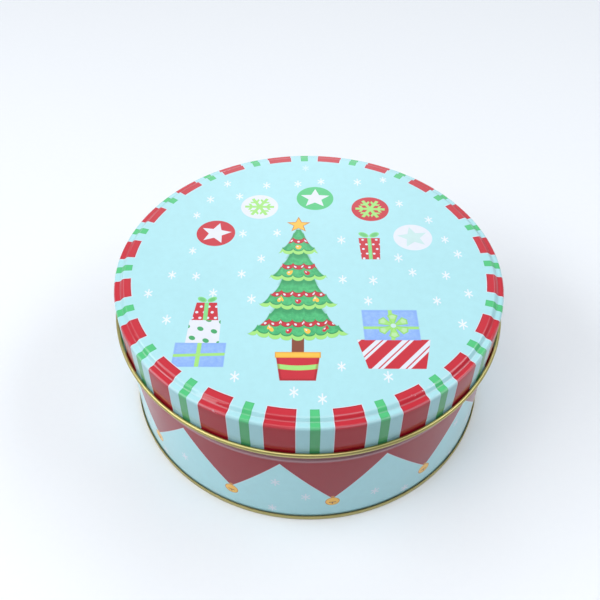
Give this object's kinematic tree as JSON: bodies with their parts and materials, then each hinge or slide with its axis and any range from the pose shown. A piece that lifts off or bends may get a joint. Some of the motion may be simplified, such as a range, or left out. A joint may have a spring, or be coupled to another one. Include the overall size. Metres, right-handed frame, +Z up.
{
  "type": "cookie tin",
  "caption": "Round lidded tin for biscuits: a lift-off lid with a raised panel and a rolled gold wire edge, over a straight printed wall with a seamed base.",
  "frame": {"origin": "centre of the circle that the tin stands on, level with the underside of the base seam", "axes": "+Z up along the tin's axis and the way the lid lifts; -Y towards the front of the print"},
  "size_m": [0.19, 0.19, 0.078],
  "materials": {
    "lid_print": "gloss varnished print on tinplate, gold lacquer inside",
    "wall_print": "gloss varnished print on tinplate, gold lacquer inside",
    "gold_lacquer": "clear gold lacquer on tinplate"
  },
  "bodies": {
    "tin_body": {"body_wall": "wall_print", "base_end": "gold_lacquer"},
    "lid": {"lid": "lid_print"}
  },
  "joints": [
    {"name": "lid_lift", "type": "slide", "parent": "tin_body", "child": "lid", "axis": [0, 0, 1], "range_m": [0, 0.1]}
  ]
}
